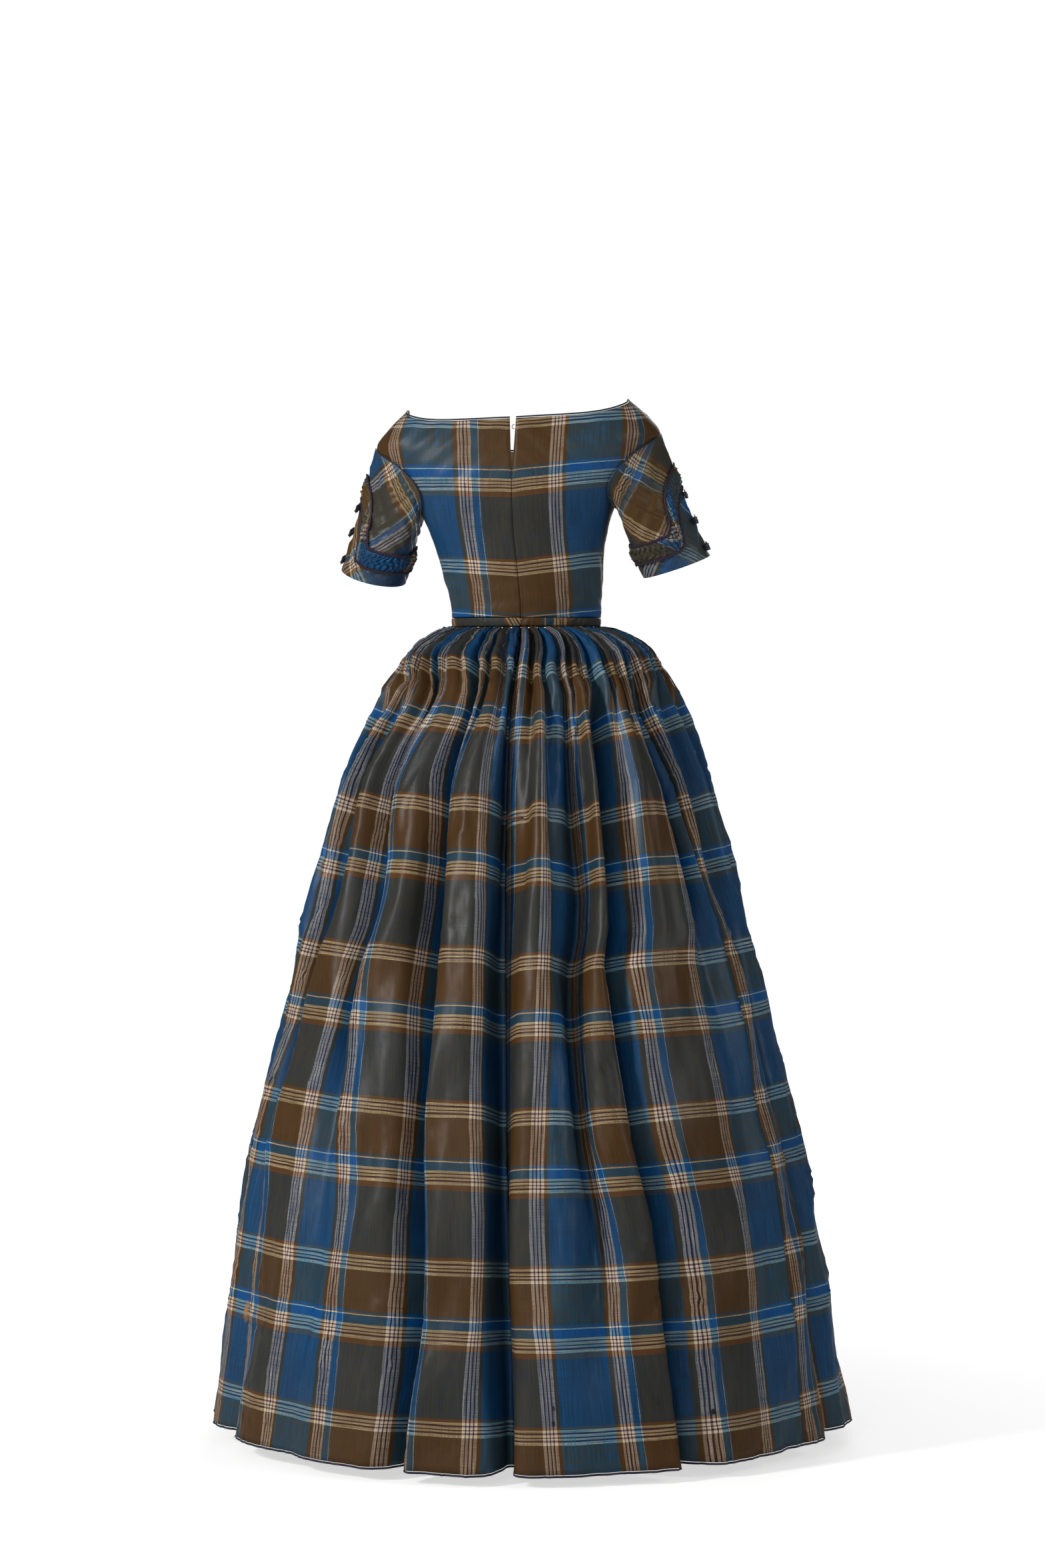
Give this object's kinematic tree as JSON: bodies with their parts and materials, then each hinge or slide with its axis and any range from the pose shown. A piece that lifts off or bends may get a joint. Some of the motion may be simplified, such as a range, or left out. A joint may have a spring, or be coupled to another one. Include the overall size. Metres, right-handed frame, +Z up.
{
  "type": "plaid silk evening dress",
  "caption": "Off-the-shoulder evening dress of plaid silk with short trimmed sleeves and a full bell skirt gathered into the waist, held as it is worn.",
  "frame": {"origin": "centre of the waist seam, where the dress sits on its wearer", "axes": "+Z up, -Y behind the wearer, where the bodice closes, and +X to the wearer's right"},
  "size_m": [0.8433, 0.8176, 1.3528],
  "materials": {
    "plaid_silk": "crisp shot silk in a large plaid of blue, brown and cream, with a soft sheen",
    "bias_silk": "the same plaid silk cut on the bias or gathered, a little faded",
    "navy_braid": "matt navy braid and cord",
    "picot_braid": "matt crimson braid with navy loops along its edges"
  },
  "bodies": {
    "root": {"armhole_piping_left": "navy_braid", "armhole_piping_right": "navy_braid", "back_loop": "navy_braid", "bodice_back_left": "plaid_silk", "bodice_back_right": "plaid_silk", "bodice_front": "plaid_silk", "bow_left_1": "bias_silk", "bow_left_2": "bias_silk", "bow_left_3": "bias_silk", "bow_right_1": "bias_silk", "bow_right_2": "bias_silk", "bow_right_3": "bias_silk", "hem_binding": "navy_braid", "lower_braid_left": "picot_braid", "lower_braid_right": "picot_braid", "neck_piping": "navy_braid", "skirt_width_1": "plaid_silk", "skirt_width_2": "plaid_silk", "skirt_width_3": "plaid_silk", "skirt_width_4": "plaid_silk", "skirt_width_5": "plaid_silk", "skirt_width_6": "plaid_silk", "sleeve_band_left": "bias_silk", "sleeve_band_right": "bias_silk", "sleeve_left": "bias_silk", "sleeve_right": "bias_silk", "upper_braid_left": "picot_braid", "upper_braid_right": "picot_braid", "waistband": "bias_silk"}
  },
  "joints": []
}
